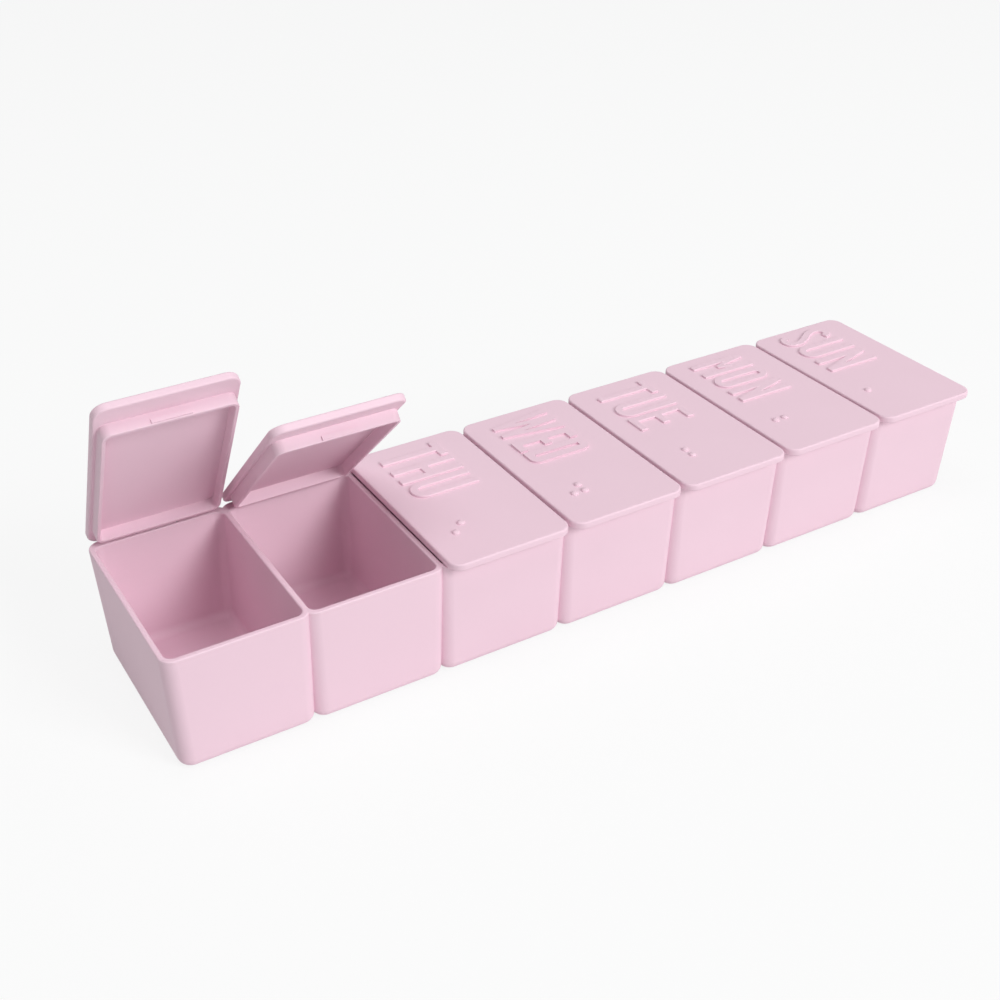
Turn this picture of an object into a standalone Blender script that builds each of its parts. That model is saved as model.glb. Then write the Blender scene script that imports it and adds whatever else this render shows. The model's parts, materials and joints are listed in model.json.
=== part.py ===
"""A weekly pill box: one moulded tray of seven tapered cups, seven flip lids, and the pins that hinge them.

Metres, +Z up. The origin is the middle of the middle cup's underside, +X runs along the row of cups,
and -Y is the side that the lids open from.
"""

import math

import bmesh
import bpy
from mathutils import Vector

MM = 0.001

# The row of cups
DAYS = ("saturday", "friday", "thursday", "wednesday", "tuesday", "monday", "sunday")
CUP_PITCH = 32.0 * MM
CUP_DEPTH = 50.5 * MM
CUP_HEIGHT = 30.15 * MM
SIDE_TAPER = 0.5 * MM
END_TAPER = 1.15 * MM
FACE_TAPER = 1.1 * MM
CUP_CORNER = 3.2 * MM
FOOT_FILLET = 2.45 * MM
SIDE_FUSION = 0.73 * MM
END_LEDGE = 0.25 * MM

# Walls and edges of the tray
FRONT_WALL = 1.35 * MM
REAR_WALL = 2.4 * MM
END_WALL = 1.3 * MM
DIVIDER = 1.4 * MM
FLOOR = 1.6 * MM
CAVITY_CORNER = 2.1 * MM
CAVITY_FILLET = 2.0 * MM
CAVITY_TAPER = 1.25 * MM
RIM_ROUND = 0.35 * MM

# Lid plate, and the hollow plug under it that drops into the cup
LID_GAP = 0.9 * MM
LID_SEAT = 0.3 * MM
LID_PLATE = 1.9 * MM
LID_CORNER = 3.2 * MM
LID_ROUND = 0.45 * MM
LID_LIP = 3.3 * MM
PLUG_DEPTH = 2.85 * MM
PLUG_WALL = 0.9 * MM
PLUG_CORNER = 2.2 * MM
PLUG_TAPER = 0.1 * MM
PLUG_SIDE_PLAY = 0.3 * MM
PLUG_FRONT_PLAY = 0.35 * MM
PLUG_REAR_PLAY = 1.9 * MM

# Snap bar on the plug's front wall, and the groove in the cup that it clicks into
SNAP_LENGTH = 8.6 * MM
SNAP_HEIGHT = 1.0 * MM
SNAP_PROUD = 0.25 * MM
SNAP_FOOT = 0.25 * MM
CATCH_PLAY = 0.3 * MM
CATCH_DEPTH = 0.3 * MM

# Hinge: two knuckles in the tray's rear wall, one on the lid between them, and a pin through all three
PIN_RADIUS = 0.4 * MM
PIN_PLAY = 0.2 * MM
PIN_INSET = 0.2 * MM
KNUCKLE_WALL = 0.35 * MM
HINGE_INSET = 0.6 * MM
HINGE_DROP = 0.95 * MM
LID_KNUCKLE = 9.4 * MM
TRAY_KNUCKLE = 6.0 * MM
KNUCKLE_PLAY = 0.3 * MM

# Lids as they stand in the photograph, in degrees open, by day
OPEN_ANGLES = {"saturday": 59.5, "friday": 43.8}

# How finely curves are cut, and how far a cutter runs past what it cuts
CORNER_STEPS = 5
FILLET_STEPS = 3
BARREL_SIDES = 16
LEAST_CORNER_SHARE = 0.2
SHARP_DEGREES = 30.0
CUT_OVERRUN = 1.0 * MM

# Places that follow from the sizes above
HALF_DEPTH = CUP_DEPTH / 2
KNUCKLE_RADIUS = PIN_RADIUS + PIN_PLAY + KNUCKLE_WALL
HINGE_Y = HALF_DEPTH - HINGE_INSET
HINGE_Z = CUP_HEIGHT - HINGE_DROP
PLATE_LOW = CUP_HEIGHT + LID_SEAT - HINGE_Z
PLATE_FRONT = -HALF_DEPTH - LID_LIP - HINGE_Y
PLATE_REAR = HALF_DEPTH - HINGE_Y
PLUG_FRONT = -HALF_DEPTH + FRONT_WALL + PLUG_FRONT_PLAY - HINGE_Y
PLUG_REAR = HALF_DEPTH - REAR_WALL - PLUG_REAR_PLAY - HINGE_Y
PLUG_HALF = CUP_PITCH / 2 + END_LEDGE - END_WALL - PLUG_SIDE_PLAY
HINGE_HALF = LID_KNUCKLE / 2 + KNUCKLE_PLAY + TRAY_KNUCKLE

PINK = (0.80, 0.62, 0.69, 1.0)
STEEL = (0.62, 0.62, 0.64, 1.0)


def clear_scene():
    """Empties the startup scene."""
    for old in list(bpy.data.objects):
        bpy.data.objects.remove(old)


def material(name, colour, roughness, metallic):
    """One Principled material."""
    made = bpy.data.materials.new(name)
    made.use_nodes = True
    shader = made.node_tree.nodes["Principled BSDF"]
    shader.inputs["Base Color"].default_value = colour
    shader.inputs["Roughness"].default_value = roughness
    shader.inputs["Metallic"].default_value = metallic
    made.diffuse_color = colour
    return made


def linked(name, mesh):
    """A scene object that shows this mesh."""
    made = bpy.data.objects.new(name, mesh)
    bpy.context.scene.collection.objects.link(made)
    return made


def outline(x_low, x_high, y_low, y_high, radius):
    """Points round a rectangle with rounded corners, anticlockwise from above."""
    centres = (
        (x_high - radius, y_low + radius, -math.pi / 2),
        (x_high - radius, y_high - radius, 0.0),
        (x_low + radius, y_high - radius, math.pi / 2),
        (x_low + radius, y_low + radius, math.pi),
    )
    points = []
    for x, y, start in centres:
        for step in range(CORNER_STEPS + 1):
            angle = start + step / CORNER_STEPS * math.pi / 2
            points.append((x + radius * math.cos(angle), y + radius * math.sin(angle)))
    return points


def loft(name, sections):
    """A closed solid through outlines that are stacked from low to high, each given with its height."""
    body = bmesh.new()
    rings = [[body.verts.new((x, y, z)) for x, y in points] for points, z in sections]
    count = len(rings[0])
    for low, high in zip(rings, rings[1:]):
        for a in range(count):
            b = (a + 1) % count
            body.faces.new((low[a], low[b], high[b], high[a]))
    body.faces.new(list(reversed(rings[0])))
    body.faces.new(rings[-1])
    mesh = bpy.data.meshes.new(name)
    body.to_mesh(mesh)
    body.free()
    return linked(name, mesh)


def block(name, low, high):
    """A plain box between two corners."""
    corners = ((low[0], low[1]), (high[0], low[1]), (high[0], high[1]), (low[0], high[1]))
    return loft(name, [(corners, low[2]), (corners, high[2])])


def barrel(name, x_low, x_high, radius, y=0.0, z=0.0):
    """A round bar along X."""
    body = bmesh.new()
    rings = []
    for x in (x_low, x_high):
        ring = []
        for side in range(BARREL_SIDES):
            angle = 2 * math.pi * side / BARREL_SIDES
            ring.append(body.verts.new((x, y + radius * math.cos(angle), z + radius * math.sin(angle))))
        rings.append(ring)
    for a in range(BARREL_SIDES):
        b = (a + 1) % BARREL_SIDES
        body.faces.new((rings[0][a], rings[0][b], rings[1][b], rings[1][a]))
    body.faces.new(list(reversed(rings[0])))
    body.faces.new(rings[1])
    mesh = bpy.data.meshes.new(name)
    body.to_mesh(mesh)
    body.free()
    return linked(name, mesh)


def combine(body, operation, tools):
    """Unites the tools with the body, or cuts them from it, and clears them away."""
    group = bpy.data.collections.new(f"{body.name}_{operation.lower()}")
    bpy.context.scene.collection.children.link(group)
    for tool in tools:
        bpy.context.scene.collection.objects.unlink(tool)
        group.objects.link(tool)
    modifier = body.modifiers.new(operation.lower(), "BOOLEAN")
    modifier.operation = operation
    modifier.operand_type = "COLLECTION"
    modifier.collection = group
    graph = bpy.context.evaluated_depsgraph_get()
    solid = bpy.data.meshes.new_from_object(body.evaluated_get(graph))
    body.modifiers.remove(modifier)
    body.data = solid
    for tool in tools:
        bpy.data.objects.remove(tool)
    bpy.data.collections.remove(group)


def cup_centre(index):
    """Where the middle of a cup lies along the row."""
    return (index - (len(DAYS) - 1) / 2) * CUP_PITCH


def cup_walls(index, end_reach, shared_reach, end_taper, shared_taper):
    """A cup's left and right sides at the rim, and their tapers: other ones where the row ends."""
    left_end, right_end = index == 0, index == len(DAYS) - 1
    left = cup_centre(index) - (end_reach if left_end else shared_reach)
    right = cup_centre(index) + (end_reach if right_end else shared_reach)
    left_taper = end_taper if left_end else shared_taper
    right_taper = end_taper if right_end else shared_taper
    return left, right, left_taper, right_taper


def tapered_section(walls, z, inset):
    """An outline of a cup at height z: its walls lean in by their tapers from the rim to the underside."""
    x_low, x_high, y_low, y_high, radius, left_taper, right_taper, face_taper = walls
    share = 1 - z / CUP_HEIGHT
    left = x_low + left_taper * share + inset
    right = x_high - right_taper * share - inset
    face = face_taper * share + inset
    corner = max(radius - max(inset, 0.0), radius * LEAST_CORNER_SHARE)
    return outline(left, right, y_low + face, y_high - face, corner), z


def filleted_sections(walls, floor, fillet):
    """The sections of a rounded foot, from the flat underside up to where the wall runs straight."""
    sections = []
    for step in range(FILLET_STEPS + 1):
        angle = step / FILLET_STEPS * math.pi / 2
        inset = fillet * (1 - math.sin(angle))
        sections.append(tapered_section(walls, floor + fillet * (1 - math.cos(angle)), inset))
    return sections


def cup_shell(index):
    """The outside of one cup as a solid block. Next to another cup it runs on into that one's side."""
    half = CUP_PITCH / 2
    left, right, *tapers = cup_walls(index, half + END_LEDGE, half + SIDE_FUSION, END_TAPER, SIDE_TAPER)
    walls = (left, right, -HALF_DEPTH, HALF_DEPTH, CUP_CORNER, *tapers, FACE_TAPER)
    sections = filleted_sections(walls, 0.0, FOOT_FILLET)
    sections.append(tapered_section(walls, CUP_HEIGHT - RIM_ROUND, 0.0))
    sections.append(tapered_section(walls, CUP_HEIGHT, RIM_ROUND))
    return loft("cup_shell", sections)


def cup_cavity(index):
    """The inside of one cup, which flares at the rim to round the rim's inner edge."""
    half = CUP_PITCH / 2
    reaches = (half + END_LEDGE - END_WALL, half - DIVIDER / 2)
    left, right, *tapers = cup_walls(index, *reaches, CAVITY_TAPER, CAVITY_TAPER)
    front, rear = -HALF_DEPTH + FRONT_WALL, HALF_DEPTH - REAR_WALL
    walls = (left, right, front, rear, CAVITY_CORNER, *tapers, CAVITY_TAPER)
    sections = filleted_sections(walls, FLOOR, CAVITY_FILLET)
    sections.append(tapered_section(walls, CUP_HEIGHT - RIM_ROUND, 0.0))
    flared, _ = tapered_section(walls, CUP_HEIGHT, -RIM_ROUND)
    sections.append((flared, CUP_HEIGHT))
    sections.append((flared, CUP_HEIGHT + CUT_OVERRUN))
    return loft("cup_cavity", sections)


def tray_knuckles(index):
    """The two hinge knuckles in a cup's rear wall."""
    inner = HINGE_HALF - TRAY_KNUCKLE
    made = []
    for side in (-1, 1):
        ends = sorted(cup_centre(index) + side * x for x in (inner, HINGE_HALF))
        made.append(barrel("tray_knuckle", *ends, KNUCKLE_RADIUS, HINGE_Y, HINGE_Z))
    return made


def lid_notch(index):
    """Room in the back wall for the lid's own knuckle and its neck."""
    half = LID_KNUCKLE / 2 + KNUCKLE_PLAY
    reach = KNUCKLE_RADIUS + KNUCKLE_PLAY
    x = cup_centre(index)
    return block(
        "lid_notch",
        (x - half, HINGE_Y - reach, HINGE_Z - reach),
        (x + half, HINGE_Y + reach + CUT_OVERRUN, CUP_HEIGHT + CUT_OVERRUN),
    )


def pin_bore(index):
    """The hole through a cup's knuckles, which ends just inside their outer faces."""
    x = cup_centre(index)
    half = HINGE_HALF - PIN_INSET / 2
    return barrel("pin_bore", x - half, x + half, PIN_RADIUS + PIN_PLAY, HINGE_Y, HINGE_Z)


def catch_groove(index):
    """The groove inside a cup's front wall that the lid's snap bar clicks into."""
    x = cup_centre(index)
    half = SNAP_LENGTH / 2 + CATCH_PLAY
    wall_y = -HALF_DEPTH + FRONT_WALL
    plug_low = HINGE_Z + PLATE_LOW - PLUG_DEPTH
    low = plug_low + SNAP_FOOT - CATCH_PLAY
    return block(
        "catch_groove",
        (x - half, wall_y - CATCH_DEPTH, low),
        (x + half, wall_y + CUT_OVERRUN, low + SNAP_HEIGHT + 2 * CATCH_PLAY),
    )


def build_tray(finish):
    """The one-piece tray."""
    places = range(len(DAYS))
    tray = cup_shell(0)
    tray.name = "tray"
    added = [cup_shell(index) for index in places if index]
    for index in places:
        added += tray_knuckles(index)
    combine(tray, "UNION", added)
    combine(tray, "DIFFERENCE", [cup_cavity(index) for index in places])
    cut = []
    for index in places:
        cut += [lid_notch(index), pin_bore(index), catch_groove(index)]
    combine(tray, "DIFFERENCE", cut)
    dress(tray, finish)
    return tray


def lid_plate():
    """The flat plate of a lid, with softened edges. Its coordinates start at the hinge axis."""
    half = (CUP_PITCH - LID_GAP) / 2
    high = PLATE_LOW + LID_PLATE

    def ring(z, inset):
        edges = (-half + inset, half - inset, PLATE_FRONT + inset, PLATE_REAR - inset)
        return outline(*edges, LID_CORNER - inset), z

    return loft(
        "lid_plate",
        [
            ring(PLATE_LOW, LID_ROUND),
            ring(PLATE_LOW + LID_ROUND, 0.0),
            ring(high - LID_ROUND, 0.0),
            ring(high, LID_ROUND),
        ],
    )


def plug_block(name, inset, low, high):
    """The plug's outline, shrunk by inset all round, between two heights."""
    sections = []
    for z in (low, high):
        lean = inset + PLUG_TAPER * max(PLATE_LOW - z, 0.0) / PLUG_DEPTH
        edges = (-PLUG_HALF + lean, PLUG_HALF - lean, PLUG_FRONT + lean, PLUG_REAR - lean)
        sections.append((outline(*edges, PLUG_CORNER - inset), z))
    return loft(name, sections)


def snap_bar():
    """The ridge near the foot of the plug's front wall."""
    half = SNAP_LENGTH / 2
    low = PLATE_LOW - PLUG_DEPTH + SNAP_FOOT
    return block(
        "snap_bar",
        (-half, PLUG_FRONT - SNAP_PROUD, low),
        (half, PLUG_FRONT + PLUG_WALL / 2, low + SNAP_HEIGHT),
    )


def lid_neck():
    """Joins the lid's knuckle to the plate above it."""
    half = LID_KNUCKLE / 2
    return block(
        "lid_neck",
        (-half, -KNUCKLE_RADIUS, 0.0),
        (half, PLATE_REAR - LID_ROUND / 2, PLATE_LOW + LID_ROUND),
    )


def lid_mesh():
    """One lid: plate, hollow plug, snap bar and hinge knuckle, closed, with the hinge axis as its X axis."""
    lid = lid_plate()
    half = LID_KNUCKLE / 2
    added = [
        plug_block("plug", 0.0, PLATE_LOW - PLUG_DEPTH, PLATE_LOW + LID_ROUND),
        snap_bar(),
        lid_neck(),
        barrel("lid_knuckle", -half, half, KNUCKLE_RADIUS),
    ]
    combine(lid, "UNION", added)
    cut = [
        plug_block("recess", PLUG_WALL, PLATE_LOW - PLUG_DEPTH - CUT_OVERRUN, PLATE_LOW),
        barrel("lid_bore", -half - CUT_OVERRUN, half + CUT_OVERRUN, PIN_RADIUS + PIN_PLAY),
    ]
    combine(lid, "DIFFERENCE", cut)
    mesh = lid.data
    bpy.data.objects.remove(lid)
    return mesh


def pin_mesh():
    """One hinge pin, about its own axis."""
    half = HINGE_HALF - PIN_INSET
    pin = barrel("pin", -half, half, PIN_RADIUS)
    mesh = pin.data
    bpy.data.objects.remove(pin)
    return mesh


def dress(piece, finish):
    """Gives a piece its material and smooth shading, with its real edges left sharp."""
    piece.data.materials.clear()
    piece.data.materials.append(finish)
    piece.data.shade_smooth()
    piece.data.set_sharp_from_angle(angle=math.radians(SHARP_DEGREES))


def hang_on_hinge(piece, index, open_angle):
    """Puts a piece on its cup's hinge axis, turned open by this many degrees."""
    piece.location = Vector((cup_centre(index), HINGE_Y, HINGE_Z))
    piece.rotation_euler.x = -math.radians(open_angle)


def build():
    clear_scene()
    pink = material("pink_plastic", PINK, 0.5, 0.0)
    steel = material("pin_steel", STEEL, 0.35, 1.0)
    build_tray(pink)
    lid_shape = lid_mesh()
    pin_shape = pin_mesh()
    for index, day in enumerate(DAYS):
        lid = linked(f"{day}_lid", lid_shape)
        dress(lid, pink)
        hang_on_hinge(lid, index, OPEN_ANGLES.get(day, 0.0))
        pin = linked(f"{day}_hinge_pin", pin_shape)
        dress(pin, steel)
        hang_on_hinge(pin, index, 0.0)


build()
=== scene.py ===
"""Dresses the weekly pill box: the pink moulded tray, its seven flip lids with raised day names
and dots, the steel hinge pins, a white studio and the camera. It works in metres, in the frame
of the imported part."""

import json
import math

import bmesh
import bpy
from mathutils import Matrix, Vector


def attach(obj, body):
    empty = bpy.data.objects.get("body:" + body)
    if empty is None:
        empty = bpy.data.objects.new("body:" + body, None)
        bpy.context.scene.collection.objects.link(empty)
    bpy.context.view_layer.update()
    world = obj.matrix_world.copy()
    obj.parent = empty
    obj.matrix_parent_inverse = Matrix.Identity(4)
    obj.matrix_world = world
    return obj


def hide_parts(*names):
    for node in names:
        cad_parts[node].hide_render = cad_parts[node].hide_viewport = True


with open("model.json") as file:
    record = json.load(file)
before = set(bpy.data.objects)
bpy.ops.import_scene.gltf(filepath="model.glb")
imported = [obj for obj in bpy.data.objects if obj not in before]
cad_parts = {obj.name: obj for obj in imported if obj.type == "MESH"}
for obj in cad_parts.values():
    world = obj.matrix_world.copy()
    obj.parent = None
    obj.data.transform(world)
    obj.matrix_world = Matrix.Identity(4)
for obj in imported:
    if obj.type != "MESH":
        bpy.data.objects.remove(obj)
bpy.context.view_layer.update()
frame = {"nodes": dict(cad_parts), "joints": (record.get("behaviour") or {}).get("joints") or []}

MM = 0.001

# The cups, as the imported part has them
CUP_PITCH = 32.0 * MM
CUP_DEPTH = 50.5 * MM
CUP_HEIGHT = 30.15 * MM
SIDE_TAPER = 0.5 * MM
END_TAPER = 1.15 * MM
FACE_TAPER = 1.1 * MM
CUP_CORNER = 3.2 * MM
FOOT_FILLET = 2.45 * MM
SIDE_FUSION = 0.73 * MM
END_LEDGE = 0.25 * MM
FRONT_WALL = 1.35 * MM
REAR_WALL = 2.4 * MM
END_WALL = 1.3 * MM
DIVIDER = 1.4 * MM
FLOOR = 1.6 * MM
CAVITY_CORNER = 2.1 * MM
CAVITY_FILLET = 2.0 * MM
CAVITY_TAPER = 1.25 * MM
RIM_ROUND = 0.35 * MM

# The lids
LID_GAP = 0.9 * MM
LID_SEAT = 0.3 * MM
LID_PLATE = 1.9 * MM
LID_CORNER = 3.2 * MM
LID_ROUND = 0.45 * MM
LID_LIP = 3.3 * MM
PLUG_DEPTH = 2.85 * MM
PLUG_WALL = 0.9 * MM
PLUG_CORNER = 2.2 * MM
PLUG_TAPER = 0.1 * MM
PLUG_ROUND = 0.22 * MM
PLUG_SIDE_PLAY = 0.3 * MM
PLUG_FRONT_PLAY = 0.35 * MM
PLUG_REAR_PLAY = 1.9 * MM
SNAP_LENGTH = 8.6 * MM
SNAP_HEIGHT = 1.0 * MM
SNAP_PROUD = 0.25 * MM
SNAP_FOOT = 0.25 * MM
CATCH_PLAY = 0.3 * MM
CATCH_DEPTH = 0.3 * MM

# The hinges
PIN_RADIUS = 0.4 * MM
PIN_PLAY = 0.2 * MM
PIN_INSET = 0.2 * MM
KNUCKLE_WALL = 0.35 * MM
KNUCKLE_ROUND = 0.12 * MM
LID_KNUCKLE = 9.4 * MM
TRAY_KNUCKLE = 6.0 * MM
KNUCKLE_PLAY = 0.3 * MM

# Raised day names, read from the hinge towards the lip, and the dots in front of them
NAME_HEIGHT = 16.7 * MM
NAME_SHIFT = -0.9 * MM
STROKE = 2.1 * MM
STROKE_RAISE = 0.55 * MM
STROKE_ROUND = 0.28 * MM
STROKE_SINK = 0.25 * MM
DOT_RADIUS = 0.95 * MM
DOT_RAISE = 0.6 * MM
DOT_PITCH = 2.9 * MM
DOT_START = 39.05 * MM
DOT_FIRST_ROW = -5.4 * MM
DOTS_IN_COLUMN = 3

# Shares of a letter's own width or height, and of a stroke's width
MIDDLE_ARM_SHARE = 0.92
MIDDLE_BAR_SHARE = 0.5
CROWN_SHARE = 0.40
CROSS_BAR_SHARE = 0.26
BOWL_SHARE = 0.42
S_TURN_SHARE = 0.24
W_FOOT_SHARE = 0.27
POINT_SHARE = 0.55

# How finely curves are cut, and how far a cutter runs past what it cuts
CORNER_STEPS = 12
FILLET_STEPS = 8
ROUND_STEPS = 3
BARREL_SIDES = 48
BEND_STEPS = 14
DOT_SEGMENTS = 24
DOT_RINGS = 16
LEAST_CORNER_SHARE = 0.15
CUT_OVERRUN = 1.0 * MM

# From which angle an edge is sharp or gets rounded, and what counts as one face or one point
SHARP_DEGREES = 32.0
ROUNDED_DEGREES = 60.0
FLAT_DEGREES = 1.0
WELD = 0.01 * MM

# Colours, and the noises of the finishes: cycles per metre, and how many finer layers they have
WHITE = (1.0, 1.0, 1.0, 1.0)
PINK_DEEP = (0.845, 0.60, 0.70, 1.0)
PINK_PALE = (0.885, 0.64, 0.74, 1.0)
PINK_GLOSS = 0.35
SATIN = 0.50
SATIN_SPREAD = 0.08
CLOUD = (45.0, 2.0)
CLOUD_SHARE = 0.7
SPECK = (1400.0, 3.0)
SPECK_SHARE = 0.3
GRAIN = (5200.0, 2.0)
GRAIN_STRENGTH = 0.12
GRAIN_HEIGHT = 0.03 * MM
STEEL_DARK = (0.50, 0.50, 0.52, 1.0)
STEEL_PALE = (0.68, 0.68, 0.69, 1.0)
STEEL_SHEEN = 0.22
STEEL_SPREAD = 0.2
SCRATCH = (1.0, 3.0)
SCRATCH_STRETCH = (60.0, 9000.0, 9000.0)
SCRATCH_STRENGTH = 0.2
SCRATCH_DEPTH = 0.01 * MM

# The studio: a lamp is its name, place, width and power in watts
FLOOR_PAINT = (0.82, 0.82, 0.82, 1.0)
FLOOR_GLOW = 0.85
FLOOR_REACH = 6.0
FLOOR_DROP = 0.05 * MM
AMBIENT = 0.25
LAMP_COLOUR = (0.97, 1.0, 0.99)
LAMPS = (
    ("key", (0.58, -1.36, 0.94), 0.7, 19.0),
    ("top", (-0.25, -0.10, 1.5), 1.0, 8.8),
)

# Camera, as the straight edges of the photograph place it
CAMERA_AT = (-166.68 * MM, -243.73 * MM, 203.82 * MM)
CAMERA_TURN = -31.28
CAMERA_DOWN = 32.092
CAMERA_LENS = 49.91
CAMERA_SENSOR = 36.0
CAMERA_NEAR = 1.0 * MM

# Places that follow from the sizes above and from the frame
hinges = {joint["child"].removesuffix("_lid"): joint for joint in frame["joints"]}
DAYS = tuple(sorted(hinges, key=lambda day: hinges[day]["pos_m"][0]))
HALF_DEPTH = CUP_DEPTH / 2
HINGE_Y, HINGE_Z = hinges[DAYS[0]]["pos_m"][1:]
KNUCKLE_RADIUS = PIN_RADIUS + PIN_PLAY + KNUCKLE_WALL
PLATE_LOW = CUP_HEIGHT + LID_SEAT - HINGE_Z
PLATE_HIGH = PLATE_LOW + LID_PLATE
PLATE_FRONT = -HALF_DEPTH - LID_LIP - HINGE_Y
PLATE_REAR = HALF_DEPTH - HINGE_Y
PLATE_HALF = (CUP_PITCH - LID_GAP) / 2
PLUG_FRONT = -HALF_DEPTH + FRONT_WALL + PLUG_FRONT_PLAY - HINGE_Y
PLUG_REAR = HALF_DEPTH - REAR_WALL - PLUG_REAR_PLAY - HINGE_Y
PLUG_HALF = CUP_PITCH / 2 + END_LEDGE - END_WALL - PLUG_SIDE_PLAY
PLUG_LOW = PLATE_LOW - PLUG_DEPTH
HINGE_HALF = LID_KNUCKLE / 2 + KNUCKLE_PLAY + TRAY_KNUCKLE


def linked(name, data):
    """A scene object that shows this mesh, lamp or camera."""
    made = bpy.data.objects.new(name, data)
    bpy.context.scene.collection.objects.link(made)
    return made


def finished(name, body):
    """A scene object from a shape under construction."""
    mesh = bpy.data.meshes.new(name)
    body.to_mesh(mesh)
    body.free()
    return linked(name, mesh)


def skinned(name, rings):
    """A closed solid through rings of points, with a cap on the first and the last ring."""
    body = bmesh.new()
    rings = [[body.verts.new(point) for point in ring] for ring in rings]
    count = len(rings[0])
    for low, high in zip(rings, rings[1:]):
        for a in range(count):
            b = (a + 1) % count
            body.faces.new((low[a], low[b], high[b], high[a]))
    body.faces.new(list(reversed(rings[0])))
    body.faces.new(rings[-1])
    return finished(name, body)


def loft(name, sections):
    """A closed solid through outlines stacked from low to high, each given with its height."""
    return skinned(name, [[(x, y, z) for x, y in points] for points, z in sections])


def outline(x_low, x_high, y_low, y_high, radius):
    """Points round a rectangle with rounded corners, anticlockwise from above."""
    centres = (
        (x_high - radius, y_low + radius, -math.pi / 2),
        (x_high - radius, y_high - radius, 0.0),
        (x_low + radius, y_high - radius, math.pi / 2),
        (x_low + radius, y_low + radius, math.pi),
    )
    points = []
    for x, y, start in centres:
        for step in range(CORNER_STEPS + 1):
            angle = start + step / CORNER_STEPS * math.pi / 2
            points.append((x + radius * math.cos(angle), y + radius * math.sin(angle)))
    return points


def quarter_round(radius, steps):
    """Points on a quarter round that starts flat and ends upright: how far in, and how far up."""
    turns = [step / steps * math.pi / 2 for step in range(steps + 1)]
    return [(radius * (1 - math.sin(turn)), radius * (1 - math.cos(turn))) for turn in turns]


def block(name, low, high):
    """A plain box between two corners."""
    corners = ((low[0], low[1]), (high[0], low[1]), (high[0], high[1]), (low[0], high[1]))
    return loft(name, [(corners, low[2]), (corners, high[2])])


def round_bar(name, x_low, x_high, radius, y=0.0, z=0.0, ends=0.0):
    """A round bar along X whose end edges are rounded by this much."""
    profile = [(x_low, radius), (x_high, radius)]
    if ends:
        rounding = quarter_round(ends, ROUND_STEPS)
        profile = [(x_low + along, radius - drop) for drop, along in rounding]
        profile += [(x_high - along, radius - drop) for drop, along in reversed(rounding)]
    angles = [2 * math.pi * side / BARREL_SIDES for side in range(BARREL_SIDES)]
    rings = []
    for x, reach in profile:
        rings.append([(x, y + reach * math.cos(a), z + reach * math.sin(a)) for a in angles])
    return skinned(name, rings)


def baked(piece):
    """The piece's mesh with its modifiers worked in."""
    graph = bpy.context.evaluated_depsgraph_get()
    return bpy.data.meshes.new_from_object(piece.evaluated_get(graph))


def combine(body, operation, tools):
    """Unites the tools with the body, or cuts them from it, and clears them away."""
    group = bpy.data.collections.new(f"{body.name}_{operation.lower()}")
    bpy.context.scene.collection.children.link(group)
    for tool in tools:
        bpy.context.scene.collection.objects.unlink(tool)
        group.objects.link(tool)
    modifier = body.modifiers.new(operation.lower(), "BOOLEAN")
    modifier.operation = operation
    modifier.operand_type = "COLLECTION"
    modifier.collection = group
    body.data = baked(body)
    body.modifiers.clear()
    for tool in tools:
        bpy.data.objects.remove(tool)
    bpy.data.collections.remove(group)


def smooth(piece, finish):
    """Smooth shading that keeps flat faces flat and real edges sharp, in one finish."""
    piece.data.materials.clear()
    piece.data.materials.append(finish)
    piece.data.shade_smooth()
    piece.data.set_sharp_from_angle(angle=math.radians(SHARP_DEGREES))
    normals = piece.modifiers.new("flat faces stay flat", "WEIGHTED_NORMAL")
    normals.keep_sharp = True


def cup_centre(index):
    """Where the middle of a cup lies along the row: on its own hinge."""
    return hinges[DAYS[index]]["pos_m"][0]


def cup_walls(index, end_reach, shared_reach, end_taper, shared_taper):
    """A cup's left and right sides at the rim, and their tapers: other ones where the row ends."""
    left_end, right_end = index == 0, index == len(DAYS) - 1
    left = cup_centre(index) - (end_reach if left_end else shared_reach)
    right = cup_centre(index) + (end_reach if right_end else shared_reach)
    left_taper = end_taper if left_end else shared_taper
    right_taper = end_taper if right_end else shared_taper
    return left, right, left_taper, right_taper


def tapered_section(walls, z, inset):
    """A cup's outline at height z: its walls lean in by their tapers from rim to underside."""
    x_low, x_high, y_low, y_high, radius, left_taper, right_taper, face_taper = walls
    share = 1 - z / CUP_HEIGHT
    left = x_low + left_taper * share + inset
    right = x_high - right_taper * share - inset
    face = face_taper * share + inset
    corner = max(radius - max(inset, 0.0), radius * LEAST_CORNER_SHARE)
    return outline(left, right, y_low + face, y_high - face, corner), z


def foot_sections(walls, floor, fillet):
    """The sections of a rounded foot, from the floor up to where the wall runs straight."""
    rounding = quarter_round(fillet, FILLET_STEPS)
    return [tapered_section(walls, floor + rise, inset) for inset, rise in rounding]


def rim_sections(walls, side):
    """The rounding of a rim's outer edge, side 1, or of its inner edge, side -1."""
    rounding = quarter_round(RIM_ROUND, ROUND_STEPS)
    return [tapered_section(walls, CUP_HEIGHT - drop, side * inset) for drop, inset in rounding]


def cup_shell(index):
    """One cup's outside as a solid block, which runs on into the side of the cup next to it."""
    half = CUP_PITCH / 2
    reaches = (half + END_LEDGE, half + SIDE_FUSION)
    left, right, *tapers = cup_walls(index, *reaches, END_TAPER, SIDE_TAPER)
    walls = (left, right, -HALF_DEPTH, HALF_DEPTH, CUP_CORNER, *tapers, FACE_TAPER)
    return loft("cup_shell", foot_sections(walls, 0.0, FOOT_FILLET) + rim_sections(walls, 1))


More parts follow.
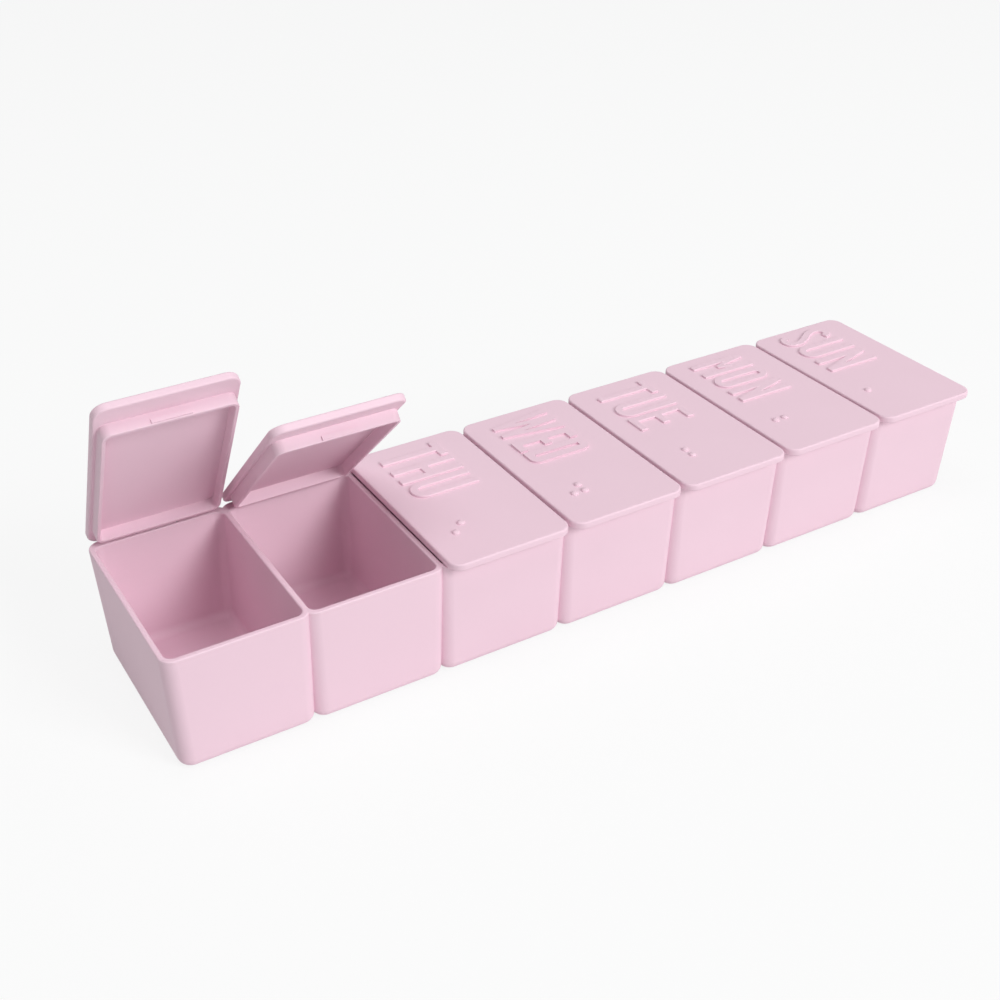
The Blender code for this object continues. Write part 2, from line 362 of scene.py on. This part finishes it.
def cup_cavity(index):
    """The inside of one cup, which flares at the rim to round the rim's inner edge."""
    half = CUP_PITCH / 2
    reaches = (half + END_LEDGE - END_WALL, half - DIVIDER / 2)
    left, right, *tapers = cup_walls(index, *reaches, CAVITY_TAPER, CAVITY_TAPER)
    front, rear = -HALF_DEPTH + FRONT_WALL, HALF_DEPTH - REAR_WALL
    walls = (left, right, front, rear, CAVITY_CORNER, *tapers, CAVITY_TAPER)
    sections = foot_sections(walls, FLOOR, CAVITY_FILLET) + rim_sections(walls, -1)
    flared, _ = sections[-1]
    sections.append((flared, CUP_HEIGHT + CUT_OVERRUN))
    return loft("cup_cavity", sections)


def tray_knuckles(index):
    """The two hinge knuckles in a cup's rear wall."""
    reaches = (HINGE_HALF - TRAY_KNUCKLE, HINGE_HALF)
    made = []
    for side in (-1, 1):
        left, right = sorted(cup_centre(index) + side * reach for reach in reaches)
        place = (left, right, KNUCKLE_RADIUS, HINGE_Y, HINGE_Z)
        made.append(round_bar("tray_knuckle", *place, KNUCKLE_ROUND))
    return made


def lid_notch(index):
    """Room in the rear wall for the lid's own knuckle and its neck."""
    half = LID_KNUCKLE / 2 + KNUCKLE_PLAY
    reach = KNUCKLE_RADIUS + KNUCKLE_PLAY
    x = cup_centre(index)
    return block(
        "lid_notch",
        (x - half, HINGE_Y - reach, HINGE_Z - reach),
        (x + half, HINGE_Y + reach + CUT_OVERRUN, CUP_HEIGHT + CUT_OVERRUN),
    )


def pin_bore(index):
    """The hole through a cup's knuckles, which ends just inside their outer faces."""
    x = cup_centre(index)
    half = HINGE_HALF - PIN_INSET / 2
    return round_bar("pin_bore", x - half, x + half, PIN_RADIUS + PIN_PLAY, HINGE_Y, HINGE_Z)


def catch_groove(index):
    """The groove inside a cup's front wall that the lid's snap bar clicks into."""
    x = cup_centre(index)
    half = SNAP_LENGTH / 2 + CATCH_PLAY
    wall_y = -HALF_DEPTH + FRONT_WALL
    low = HINGE_Z + PLATE_LOW - PLUG_DEPTH + SNAP_FOOT - CATCH_PLAY
    return block(
        "catch_groove",
        (x - half, wall_y - CATCH_DEPTH, low),
        (x + half, wall_y + CUT_OVERRUN, low + SNAP_HEIGHT + 2 * CATCH_PLAY),
    )


def make_tray(finish):
    """The one-piece tray of seven cups, with its hinge knuckles."""
    places = range(len(DAYS))
    tray = cup_shell(0)
    tray.name = "tray_moulding"
    added = [cup_shell(index) for index in places if index]
    for index in places:
        added += tray_knuckles(index)
    combine(tray, "UNION", added)
    combine(tray, "DIFFERENCE", [cup_cavity(index) for index in places])
    cut = []
    for index in places:
        cut += [lid_notch(index), pin_bore(index), catch_groove(index)]
    combine(tray, "DIFFERENCE", cut)
    smooth(tray, finish)
    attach(tray, "tray")
    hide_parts("tray")


def plate_section(inset, z):
    """A lid plate's outline at this height, drawn in by inset all round."""
    edges = (-PLATE_HALF + inset, PLATE_HALF - inset, PLATE_FRONT + inset, PLATE_REAR - inset)
    return outline(*edges, LID_CORNER - inset), z


def lid_plate():
    """The flat plate of a lid, with rounded edges. Its coordinates start at the hinge axis."""
    rounding = quarter_round(LID_ROUND, ROUND_STEPS)
    lower = [plate_section(inset, PLATE_LOW + rise) for inset, rise in rounding]
    upper = [plate_section(inset, PLATE_HIGH - rise) for inset, rise in reversed(rounding)]
    return loft("lid_plate", lower + upper)


def plug_section(inset, z):
    """The plug's outline at this height, drawn in by inset all round."""
    lean = inset + PLUG_TAPER * max(PLATE_LOW - z, 0.0) / PLUG_DEPTH
    edges = (-PLUG_HALF + lean, PLUG_HALF - lean, PLUG_FRONT + lean, PLUG_REAR - lean)
    return outline(*edges, PLUG_CORNER - inset), z


def plug_foot(wall, side):
    """The rounding of the plug's lower edge: its outer side, 1, or its inner side, -1."""
    rounding = quarter_round(PLUG_ROUND, ROUND_STEPS)
    return [plug_section(wall + side * inset, PLUG_LOW + rise) for inset, rise in rounding]


def plug_frame():
    """The plug as a solid block, with its lower outer edge rounded."""
    return loft("plug_frame", plug_foot(0.0, 1) + [plug_section(0.0, PLATE_LOW + LID_ROUND)])


def plug_recess():
    """The hollow inside the plug, which flares where it opens."""
    mouth = plug_foot(PLUG_WALL, -1)
    flared, low = mouth[0]
    sections = [(flared, low - CUT_OVERRUN)] + mouth + [plug_section(PLUG_WALL, PLATE_LOW)]
    return loft("plug_recess", sections)


def snap_bar():
    """The ridge near the foot of the plug's front wall."""
    half = SNAP_LENGTH / 2
    low = PLUG_LOW + SNAP_FOOT
    return block(
        "snap_bar",
        (-half, PLUG_FRONT - SNAP_PROUD, low),
        (half, PLUG_FRONT + PLUG_WALL / 2, low + SNAP_HEIGHT),
    )


def lid_neck():
    """Joins the lid's knuckle to the plate above it."""
    half = LID_KNUCKLE / 2
    return block(
        "lid_neck",
        (-half, -KNUCKLE_RADIUS, 0.0),
        (half, PLATE_REAR - LID_ROUND / 2, PLATE_LOW + LID_ROUND),
    )


def bend(x, y, radius, start, end):
    """Points on an arc about (x, y), from one angle to another in degrees."""
    made = []
    for step in range(BEND_STEPS + 1):
        angle = math.radians(start + (end - start) * step / BEND_STEPS)
        made.append((x + radius * math.cos(angle), y + radius * math.sin(angle)))
    return made


def band(path):
    """The outline of a stroke along a path, with square ends."""
    left, right = [], []
    for place, point in enumerate(path):
        before = Vector(path[max(place - 1, 0)])
        after = Vector(path[min(place + 1, len(path) - 1)])
        along = (after - before).normalized()
        across = Vector((-along.y, along.x)) * (STROKE / 2)
        left.append(tuple(Vector(point) + across))
        right.append(tuple(Vector(point) - across))
    return right + list(reversed(left))


def leaning(top_left, foot_left, width, height):
    """A slanting stroke that is STROKE wide at its top and this wide at its foot, both level."""
    foot = [(foot_left, 0.0), (foot_left + width, 0.0)]
    return foot + [(top_left + STROKE, height), (top_left, height)]


def upright(x, height):
    """A stem whose left edge is at x."""
    return [(x, 0.0), (x + STROKE, 0.0), (x + STROKE, height), (x, height)]


def bar(y, left, right):
    """A level stroke whose lower edge is at y."""
    return [(left, y), (right, y), (right, y + STROKE), (left, y + STROKE)]


# Each letter is its strokes, for a letter of this width and height

def letter_t(w, h):
    return [upright((w - STROKE) / 2, h), bar(h - STROKE, 0.0, w)]


def letter_h(w, h):
    middle = h * MIDDLE_BAR_SHARE - STROKE / 2
    return [upright(0.0, h), upright(w - STROKE, h), bar(middle, 0.0, w)]


def letter_u(w, h):
    turn = bend(w / 2, w / 2, (w - STROKE) / 2, 180.0, 360.0)
    return [band([(STROKE / 2, h)] + turn + [(w - STROKE / 2, h)])]


def letter_w(w, h):
    point = STROKE * POINT_SHARE
    foot = (w - point) * W_FOOT_SHARE
    middle, far_foot = (w - STROKE) / 2, w - point - foot
    slants = ((0.0, foot), (middle, foot), (middle, far_foot), (w - STROKE, far_foot))
    return [leaning(top, low, point, h) for top, low in slants]


def letter_e(w, h):
    stem, *arms = letter_f(w, h)
    return [stem, bar(0.0, 0.0, w), *arms]


def letter_f(w, h):
    middle = h * MIDDLE_BAR_SHARE - STROKE / 2
    return [upright(0.0, h), bar(middle, 0.0, w * MIDDLE_ARM_SHARE), bar(h - STROKE, 0.0, w)]


def letter_d(w, h):
    turn = w * BOWL_SHARE
    reach = turn - STROKE / 2
    low = bend(w - turn, turn, reach, -90.0, 0.0)
    high = bend(w - turn, h - turn, reach, 0.0, 90.0)
    path = [(STROKE / 2, STROKE / 2)] + low + high + [(STROKE / 2, h - STROKE / 2)]
    return [upright(0.0, h), band(path)]


def letter_m(w, h):
    point = STROKE * POINT_SHARE
    crown = h * CROWN_SHARE
    made = [upright(0.0, h), upright(w - STROKE, h)]
    for top in (0.0, w - STROKE):
        lean = leaning(top, (w - point) / 2, point, h - crown)
        made.append([(x, y + crown) for x, y in lean])
    return made


def letter_o(w, h):
    reach = (w - STROKE) / 2
    side = STROKE / 2
    low = [(side, h / 2)] + bend(w / 2, w / 2, reach, 180.0, 360.0) + [(w - side, h / 2)]
    high = [(w - side, h / 2)] + bend(w / 2, h - w / 2, reach, 0.0, 180.0) + [(side, h / 2)]
    return [band(low), band(high)]


def letter_n(w, h):
    return [upright(0.0, h), upright(w - STROKE, h), leaning(0.0, w - STROKE, STROKE, h)]


def letter_s(w, h):
    reach = (w - STROKE) / 2
    turn = h * S_TURN_SHARE
    side = STROKE / 2
    high = bend(w / 2, h - w / 2, reach, 0.0, 180.0) + [(side, h - turn)]
    low = [(w - side, turn)] + bend(w / 2, w / 2, reach, 360.0, 180.0)
    waist = []
    for step in range(1, BEND_STEPS):
        part = step / BEND_STEPS
        ease = part * part * (3 - 2 * part)
        waist.append((side + (w - STROKE) * ease, h - turn - (h - 2 * turn) * part))
    return [band(high + waist + low)]


def letter_r(w, h):
    middle = h * MIDDLE_BAR_SHARE - STROKE / 2
    turn = w * BOWL_SHARE
    reach = turn - STROKE / 2
    low = bend(w - turn, middle + turn, reach, -90.0, 0.0)
    high = bend(w - turn, h - turn, reach, 0.0, 90.0)
    path = [(STROKE / 2, middle + STROKE / 2)] + low + high + [(STROKE / 2, h - STROKE / 2)]
    top = middle + STROKE
    leg = [(w - STROKE, 0.0), (w, 0.0), (w - STROKE / 2, top), (STROKE, top)]
    return [upright(0.0, h), band(path), leg]


def letter_i(_, h):
    return [upright(0.0, h)]


def letter_a(w, h):
    top = (w - STROKE) / 2
    slants = [leaning(top, low, STROKE, h) for low in (0.0, w - STROKE)]
    return slants + [bar(h * CROSS_BAR_SHARE, STROKE, w - STROKE)]


# Each day's letters, with where each starts and ends in millimetres from the lid's rear edge
DAY_LETTERS = {
    "sunday": ((letter_s, 3.1, 9.2), (letter_u, 10.8, 17.5), (letter_n, 19.2, 26.3)),
    "monday": ((letter_m, 4.4, 11.7), (letter_o, 13.1, 19.2), (letter_n, 20.9, 27.2)),
    "tuesday": ((letter_t, 3.7, 10.9), (letter_u, 12.1, 18.8), (letter_e, 19.9, 26.2)),
    "wednesday": ((letter_w, 3.6, 14.0), (letter_e, 15.1, 19.7), (letter_d, 20.7, 26.2)),
    "thursday": ((letter_t, 3.6, 10.5), (letter_h, 11.5, 18.1), (letter_u, 19.2, 25.7)),
    "friday": ((letter_f, 3.7, 10.0), (letter_r, 11.5, 18.4), (letter_i, 19.9, 22.0)),
    "saturday": ((letter_s, 3.1, 9.2), (letter_a, 10.5, 17.9), (letter_t, 19.1, 26.0)),
}

# Each day's dots by their places in the six-dot cell
DAY_DOTS = {
    "sunday": (2,),
    "monday": (1, 2),
    "tuesday": (1, 4),
    "wednesday": (1, 4, 5),
    "thursday": (1, 5),
    "friday": (1, 2, 4),
    "saturday": (1, 2, 4, 5),
}


def on_lid(reading, up):
    """A place on the lid's top: reading runs from hinge edge to lip, up runs along the row."""
    return up, PLATE_REAR - reading


def stroke_solid(points):
    """A stroke raised from the lid's top, whichever way round its outline runs."""
    area = sum(a[0] * b[1] - b[0] * a[1] for a, b in zip(points, points[1:] + points[:1]))
    if area < 0:
        points = list(reversed(points))
    low, high = PLATE_HIGH - STROKE_SINK, PLATE_HIGH + STROKE_RAISE
    return loft("stroke", [(points, low), (points, high)])


def day_name(day):
    """The raised letters of a day as one rounded solid."""
    strokes = []
    for shape, start, end in DAY_LETTERS[day]:
        for points in shape((end - start) * MM, NAME_HEIGHT):
            placed = [(start * MM + x, y - NAME_HEIGHT / 2 + NAME_SHIFT) for x, y in points]
            strokes.append(stroke_solid([on_lid(*place) for place in placed]))
    name = strokes[0]
    combine(name, "UNION", strokes[1:])
    body = bmesh.new()
    body.from_mesh(name.data)
    bmesh.ops.remove_doubles(body, verts=body.verts, dist=WELD)
    flat = math.radians(FLAT_DEGREES)
    bmesh.ops.dissolve_limit(body, angle_limit=flat, verts=body.verts, edges=body.edges)
    body.to_mesh(name.data)
    body.free()
    edge = name.modifiers.new("rounded strokes", "BEVEL")
    edge.width = STROKE_ROUND
    edge.segments = ROUND_STEPS
    edge.limit_method = "ANGLE"
    edge.angle_limit = math.radians(ROUNDED_DEGREES)
    name.data = baked(name)
    name.modifiers.clear()
    return name


def dot(number):
    """One raised dot, by its place in the six-dot cell."""
    column, row = divmod(number - 1, DOTS_IN_COLUMN)
    x, y = on_lid(DOT_START + column * DOT_PITCH, DOT_FIRST_ROW - row * DOT_PITCH)
    body = bmesh.new()
    bmesh.ops.create_uvsphere(
        body, u_segments=DOT_SEGMENTS, v_segments=DOT_RINGS, radius=DOT_RADIUS)
    for vertex in body.verts:
        vertex.co.z *= DOT_RAISE / DOT_RADIUS
        vertex.co += Vector((x, y, PLATE_HIGH))
    return finished("dot", body)


def make_lid(day, finish):
    """One flip lid: plate, hollow plug, snap bar, knuckle, raised day name and dots."""
    lid = lid_plate()
    lid.name = f"{day}_flip_lid"
    half = LID_KNUCKLE / 2
    added = [plug_frame(), snap_bar(), lid_neck()]
    added.append(round_bar("lid_knuckle", -half, half, KNUCKLE_RADIUS, ends=KNUCKLE_ROUND))
    combine(lid, "UNION", added)
    reach = half + CUT_OVERRUN
    bore = round_bar("lid_bore", -reach, reach, PIN_RADIUS + PIN_PLAY)
    combine(lid, "DIFFERENCE", [plug_recess(), bore])
    combine(lid, "UNION", [day_name(day)] + [dot(number) for number in DAY_DOTS[day]])
    smooth(lid, finish)
    hinge = hinges[day]
    lid.location = Vector(hinge["pos_m"])
    lid.rotation_euler.x = math.radians(hinge["range_deg"][0])
    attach(lid, f"{day}_lid")
    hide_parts(f"{day}_lid")


class Wire:
    """A socket's value while a material is written: arithmetic on it adds Math nodes."""

    def __init__(self, tree, socket=None):
        self.tree = tree
        self.socket = socket

    def node(self, kind, settings=None, inputs=None, output=0):
        """A new node of this kind, set up and fed, given back as the wire of one output."""
        made = self.tree.nodes.new("ShaderNode" + kind)
        for name, value in (settings or {}).items():
            setattr(made, name, value)
        for name, value in (inputs or {}).items():
            if isinstance(value, Wire):
                self.tree.links.new(value.socket, made.inputs[name])
            else:
                made.inputs[name].default_value = value
        return Wire(self.tree, made.outputs[output])

    def maths(self, operation, left, right):
        """A Math node on two values."""
        return self.node("Math", {"operation": operation}, {0: left, 1: right})

    def colours(self, factor, low, high):
        """The colour between two colours that the factor gives."""
        inputs = {"Factor": factor, "A": low, "B": high}
        return self.node("Mix", {"data_type": "RGBA"}, inputs, output=2)

    def noise(self, place, scale, detail):
        """Smooth noise over a place."""
        return self.node("TexNoise", inputs={"Vector": place, "Scale": scale, "Detail": detail})

    def __add__(self, other):
        return self.maths("ADD", self, other)

    def __radd__(self, other):
        return self.maths("ADD", other, self)

    def __mul__(self, other):
        return self.maths("MULTIPLY", self, other)

    def __rmul__(self, other):
        return self.maths("MULTIPLY", other, self)


def blank_material(name):
    """An empty node material and its wire."""
    made = bpy.data.materials.new(name)
    made.use_nodes = True
    made.node_tree.nodes.clear()
    return made, Wire(made.node_tree)


def show(surface, kind="Material"):
    """Ends a node tree with this shader on its output."""
    output = surface.tree.nodes.new("ShaderNodeOutput" + kind)
    surface.tree.links.new(surface.socket, output.inputs["Surface"])


def pink_plastic():
    """Satin moulded plastic: a fine spark-eroded grain and the faint clouding of the pigment."""
    made, wire = blank_material("pink_plastic")
    place = wire.node("TexCoord", output="Object")
    grain = wire.noise(place, *GRAIN)
    speck = wire.noise(place, *SPECK)
    shade = wire.noise(place, *CLOUD) * CLOUD_SHARE + speck * SPECK_SHARE
    bump = {"Height": grain, "Strength": GRAIN_STRENGTH, "Distance": GRAIN_HEIGHT}
    show(wire.node("BsdfPrincipled", inputs={
        "Base Color": wire.colours(shade, PINK_DEEP, PINK_PALE),
        "Roughness": SATIN + SATIN_SPREAD * speck,
        "Specular IOR Level": PINK_GLOSS,
        "Normal": wire.node("Bump", inputs=bump),
    }))
    return made


def drawn_steel():
    """Hinge wire with the long scratches of drawing along it."""
    made, wire = blank_material("pin_steel")
    place = wire.node("TexCoord", output="Object")
    along = wire.node("Mapping", inputs={"Vector": place, "Scale": SCRATCH_STRETCH})
    scratch = wire.noise(along, *SCRATCH)
    bump = {"Height": scratch, "Strength": SCRATCH_STRENGTH, "Distance": SCRATCH_DEPTH}
    show(wire.node("BsdfPrincipled", inputs={
        "Base Color": wire.colours(scratch, STEEL_DARK, STEEL_PALE),
        "Metallic": 1.0,
        "Roughness": STEEL_SHEEN + STEEL_SPREAD * scratch,
        "Normal": wire.node("Bump", inputs=bump),
    }))
    return made


def seen_white(wire):
    """1 for what the camera sees straight on, mirrored in a gloss or through something clear."""
    straight = wire.node("LightPath", output="Is Camera Ray")
    mirrored = wire.node("LightPath", output="Is Glossy Ray")
    through = wire.node("LightPath", output="Is Transmission Ray")
    return wire.maths("MAXIMUM", wire.maths("MAXIMUM", straight, mirrored), through)


def make_floor():
    """A white floor that keeps a soft shadow."""
    finish, wire = blank_material("studio_floor")
    paint = wire.node("BsdfDiffuse", inputs={"Color": FLOOR_PAINT})
    glow = wire.node("Emission", inputs={"Color": WHITE, "Strength": 1.0})
    show(wire.node("MixShader", inputs={0: FLOOR_GLOW * seen_white(wire), 1: paint, 2: glow}))
    body = bmesh.new()
    bmesh.ops.create_grid(body, x_segments=1, y_segments=1, size=FLOOR_REACH)
    floor = finished("floor", body)
    floor.location.z = -FLOOR_DROP
    floor.data.materials.append(finish)


def make_surroundings():
    """A world that looks white and lights the object faintly from all sides."""
    world = bpy.data.worlds.new("studio")
    world.use_nodes = True
    world.node_tree.nodes.clear()
    bpy.context.scene.world = world
    sky = Wire(world.node_tree)
    levels = {"Factor": seen_white(sky), "A": AMBIENT, "B": 1.0}
    level = sky.node("Mix", {"data_type": "FLOAT"}, levels)
    show(sky.node("Background", inputs={"Color": WHITE, "Strength": level}), "World")


def make_lamp(name, place, size, power):
    """A square soft lamp that points at the row of cups."""
    light = bpy.data.lights.new(name, "AREA")
    light.size = size
    light.energy = power
    light.color = LAMP_COLOUR
    lamp = linked(name, light)
    lamp.location = Vector(place)
    aim = Vector((0.0, 0.0, CUP_HEIGHT / 2)) - lamp.location
    lamp.rotation_euler = aim.to_track_quat("-Z", "Y").to_euler()


def make_camera():
    """The photograph's view, for a square frame."""
    lens = bpy.data.cameras.new("camera")
    lens.lens = CAMERA_LENS
    lens.sensor_width = CAMERA_SENSOR
    lens.sensor_fit = "HORIZONTAL"
    lens.clip_start = CAMERA_NEAR
    camera = linked("camera", lens)
    camera.location = Vector(CAMERA_AT)
    camera.rotation_euler = (math.radians(90.0 - CAMERA_DOWN), 0.0, math.radians(CAMERA_TURN))
    bpy.context.scene.camera = camera


bpy.context.scene.view_settings.view_transform = "Standard"
pink = pink_plastic()
steel = drawn_steel()
make_tray(pink)
for weekday in DAYS:
    make_lid(weekday, pink)
    pin = frame["nodes"][f"{weekday}_hinge_pin"]
    pin.data.materials.clear()
    pin.data.materials.append(steel)
make_floor()
make_surroundings()
for lamp in LAMPS:
    make_lamp(*lamp)
make_camera()
